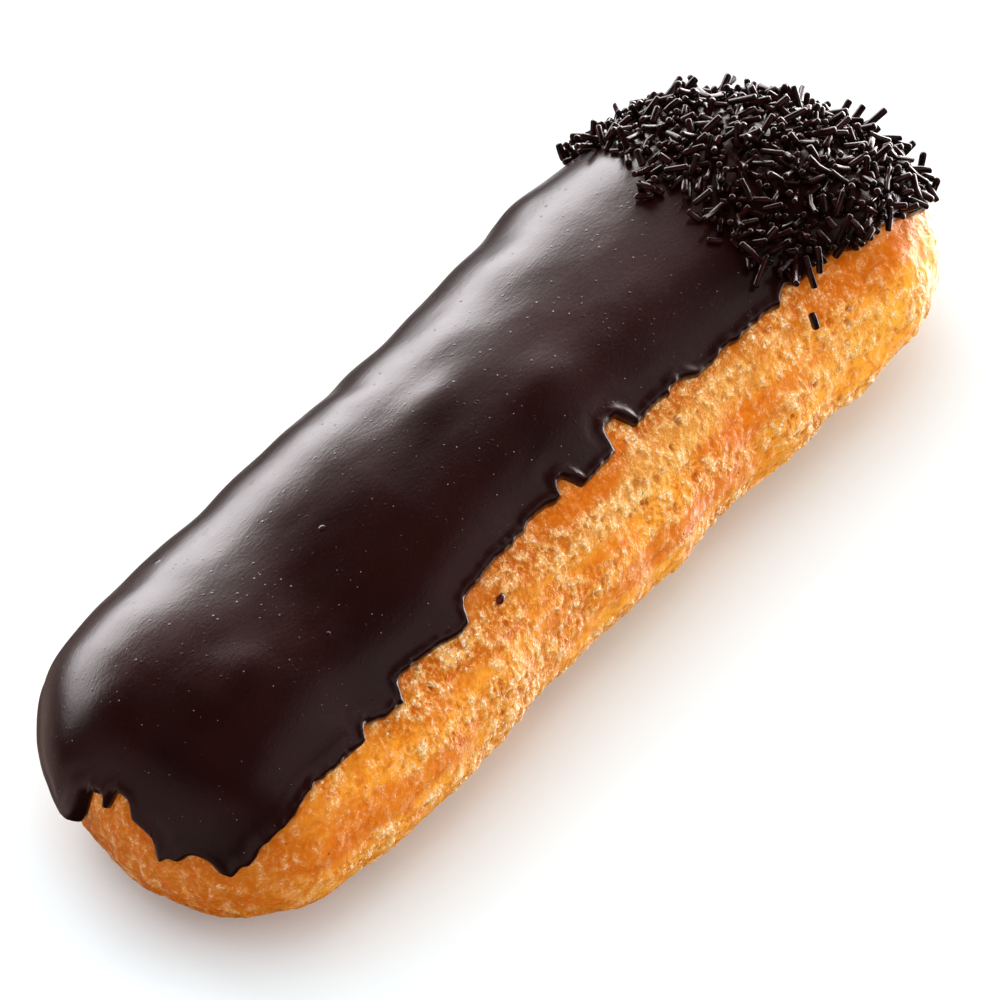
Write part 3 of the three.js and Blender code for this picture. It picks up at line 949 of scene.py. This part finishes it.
def coat_material():
    material, net, shader = new_material("icing")
    place = rest_place(net)
    along = net.vector("MULTIPLY", place, (0.5, 1.0, 1.0))
    streaks = net.vector("MULTIPLY", place, (0.45, 1.0, 1.0))
    tone = net.noise(place, 14.0, 2.0, 0.5)
    haze = net.noise(place, 5.0, 3.0, 0.6)
    # Small pale specks of many sizes.
    apart, chance = net.cells(place, 0.9)
    size = net.step(chance[0], 0.3, 1.0, 0.0, 0.09)
    speck = net.step(net.math("SUBTRACT", apart, size), -0.05, 0.02, 1.0, 0.0)
    speck = net.mul(speck, net.step(size, 0.01, 0.05))
    speck_look = net.mix(chance[1], colour(70, 45, 38), colour(170, 140, 128))
    look = net.mix(net.step(tone, 0.3, 0.7), colour(20, 3, 2), colour(29, 5, 3))
    pimple = net.mul(net.step(apart, 0.05, 0.28, 1.0, 0.0), net.step(chance[1], 0.4, 1.0, 0.0, 0.03))
    height = net.add(net.mul(net.noise(streaks, 0.42, 3.0, 0.65), 0.03), pimple)
    for middle, radius, rise in BUBBLES:
        height = net.add(height, net.mul(net.spot(place, middle, (radius, radius, 5.0)), rise))
    height = net.add(height, net.mul(net.noise(along, 3.0, 1.0, 0.5), 0.03))
    normal = net.bump(net.add(height, net.mul(speck, 0.06)))
    net.fill(shader, {
        "Base Color": net.mix(speck, look, speck_look),
        "Roughness": net.step(haze, 0.3, 0.7, 0.36, 0.46),
        "Specular IOR Level": 0.2,
        "Specular Tint": (1.0, 0.45, 0.40, 1),
        "Coat Weight": 1.0,
        "Coat Roughness": 0.2,
        "Coat IOR": 1.45,
        "Normal": normal,
        "Coat Normal": normal,
    })
    return material


def vermicelli_material(name, dark, pale):
    material, net, shader = new_material(name)
    place = net.vector("MULTIPLY", net.node("ShaderNodeTexCoord").outputs["Object"], (1 / MM,) * 3)
    tone = net.noise(place, 1.8, 2.0, 0.5)
    net.fill(shader, {
        "Base Color": net.mix(net.step(tone, 0.35, 0.65), dark, pale),
        "Roughness": net.step(net.noise(place, 1.0, 2.0, 0.6), 0.3, 0.7, 0.11, 0.2),
        "Specular IOR Level": 0.7,
        "Specular Tint": (1.0, 0.88, 0.86, 1),
        "Normal": net.bump(net.noise(place, 0.5, 2.0, 0.6), 0.25, 0.1 * MM),
    })
    return material


# ---- pieces -------------------------------------------------------------------------------------------
crust = make_crust()
coat = make_icing()
vermicelli = make_vermicelli()
fleck = make_fleck(crust)
crust.data.materials.append(crust_material())
coat.data.materials.append(coat_material())
vermicelli.data.materials.append(vermicelli_material("vermicelli", colour(13, 3, 2), colour(34, 9, 6)))
fleck.data.materials.append(vermicelli_material("fleck", colour(52, 10, 4), colour(96, 30, 12)))

# The row's origin is under the middle of the box, so every piece moves there with the dough.
low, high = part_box("choux_bar")
bar_points = points_of(crust.data)
bar_middle = MM * (bar_points.min(0) + bar_points.max(0)) / 2
offset = np.array([(low[0] + high[0]) / 2 - bar_middle[0], (low[1] + high[1]) / 2 - bar_middle[1], 0.0])
for piece in (crust, coat, vermicelli, fleck):
    move_to(piece.data, points_of(piece.data) + offset / MM)
    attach(piece, "root")
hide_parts("choux_bar")
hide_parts("chocolate_icing")

# ---- floor, light and camera ----------------------------------------------------------------------------
FLOOR_REACH = 3000.0
AMBIENT = 0.93
BETWEEN_PANELS = (0.005, 0.004, 0.004)
PANELS = [  # what glossy things mirror: azimuth, elevation, half width, half height, softness, light, tint
    (66, 11, 34, 15, 0.6, 6.5, (0.97, 0.97, 1.0)),
    (45, 36, 40, 14, 0.6, 0.5, (1.0, 0.80, 0.76)),
    (-68, 46, 36, 19, 0.3, 0.36, (1.0, 0.88, 0.90)),
    (180, 0, 36, 26, 0.5, 0.28, (1.0, 0.80, 0.78)),
    (2, -14, 28, 30, 0.5, 11.0, (1.0, 0.98, 0.98)),
    (122, -46, 44, 22, 0.4, 0.3, (1.0, 0.70, 0.62)),
]
SOFTBOXES = [  # name, place, power, size
    ("overhead", (0.0, 0.25, 1.2), 7.0, (1.3, 1.3)),
    ("right", (0.92, -0.49, 0.12), 4.5, (0.3, 0.25)),
    ("back", (0.1, 0.8, 0.9), 3.0, (0.6, 0.6)),
]
LIT_POINT = (0.0, 0.0, 0.015)
AZIMUTH, ELEVATION = math.radians(-50.7), math.radians(50.0)
DISTANCE = 1.4
VIEW_WIDTH = 0.129416  # of the scene at the point looked at, across the picture
SENSOR = 36.0
LOOK_AT = (0.0, 0.0, 0.018)
ASIDE, BELOW = 0.00067, -0.00116


def make_floor():
    corners = np.array([(-1, -1, 0), (1, -1, 0), (1, 1, 0), (-1, 1, 0)])
    ob = make_object("floor", corners * FLOOR_REACH, [(0, 1, 2, 3)])
    material, net, shader = new_material("floor")
    net.fill(shader, {"Base Color": (0.83, 0.918, 0.958, 1), "Roughness": 0.9, "Specular IOR Level": 0.1})
    ob.data.materials.append(material)
    ob.visible_glossy = False
    return ob


def panel(net, direction, azimuth, elevation, half_width, half_height, softness):
    """1 towards a rounded panel, 0 off it. Angles are in degrees."""
    azimuth, elevation = math.radians(azimuth), math.radians(elevation)
    level = math.cos(elevation)
    middle = (math.cos(azimuth) * level, math.sin(azimuth) * level, math.sin(elevation))
    side = (-math.sin(azimuth), math.cos(azimuth), 0)
    over = tuple(np.cross(middle, side))
    off = 0.0
    for way, half in ((side, half_width), (over, half_height)):
        across = net.mul(net.vector("DOT_PRODUCT", direction, way), 1 / math.sin(math.radians(half)))
        off = net.add(off, net.math("POWER", net.math("ABSOLUTE", across), 3.0))
    off = net.math("POWER", off, 1 / 3)
    ahead = net.step(net.vector("DOT_PRODUCT", direction, middle), 0.0, 0.1)
    return net.mul(net.step(off, 1 - softness, 1 + softness, 1.0, 0.0), ahead)


def make_world():
    """Even white light, with panels in place of it where a glossy surface mirrors the studio."""
    world = bpy.data.worlds.new("studio")
    bpy.context.scene.world = world
    world.use_nodes = True
    net = Net(world.node_tree)
    even = next(n for n in net.tree.nodes if n.type == "BACKGROUND")
    output = next(n for n in net.tree.nodes if n.type == "OUTPUT_WORLD")
    net.fill(even, {"Color": (1, 1, 1, 1), "Strength": AMBIENT})
    direction = net.node("ShaderNodeTexCoord").outputs["Generated"]
    glow = BETWEEN_PANELS
    for *form, light, tint in PANELS:
        lit = net.vector("MULTIPLY", panel(net, direction, *form), tuple(light * t for t in tint))
        glow = net.vector("ADD", lit, glow)
    mirrored = net.node("ShaderNodeBackground")
    net.fill(mirrored, {"Color": glow})
    choose = net.node("ShaderNodeMixShader")
    net.put(choose.inputs[0], net.node("ShaderNodeLightPath").outputs["Is Glossy Ray"])
    net.put(choose.inputs[1], even.outputs[0])
    net.put(choose.inputs[2], mirrored.outputs[0])
    net.put(output.inputs["Surface"], choose.outputs[0])


def place_at(name, data, place, towards):
    """A light or camera at a place, turned towards a direction."""
    ob = bpy.data.objects.new(name, data)
    bpy.context.scene.collection.objects.link(ob)
    ob.location = place
    ob.rotation_mode = "QUATERNION"
    ob.rotation_quaternion = Vector(towards).to_track_quat("-Z", "Y")
    return ob


def make_softbox(name, place, power, size):
    light = bpy.data.lights.new(name, "AREA")
    light.shape = "RECTANGLE"
    light.size, light.size_y = size
    light.energy = power
    place_at(name, light, place, np.subtract(LIT_POINT, place)).visible_glossy = False


def make_camera(offset):
    data = bpy.data.cameras.new("camera")
    data.sensor_width = SENSOR
    data.lens = SENSOR * DISTANCE / VIEW_WIDTH
    data.clip_start, data.clip_end = 0.05, 20.0
    level = math.cos(ELEVATION)
    back = np.array([math.sin(AZIMUTH) * level, -math.cos(AZIMUTH) * level, math.sin(ELEVATION)])
    right = np.array([math.cos(AZIMUTH), math.sin(AZIMUTH), 0.0])
    above = np.cross(back, right)
    aim = LOOK_AT + offset + ASIDE * right + BELOW * above
    return place_at("camera", data, aim + DISTANCE * back, -back)


floor = make_floor()
make_world()
for softbox in SOFTBOXES:
    make_softbox(*softbox)
bpy.context.scene.camera = make_camera(offset)
bpy.context.scene.view_settings.view_transform = "Standard"
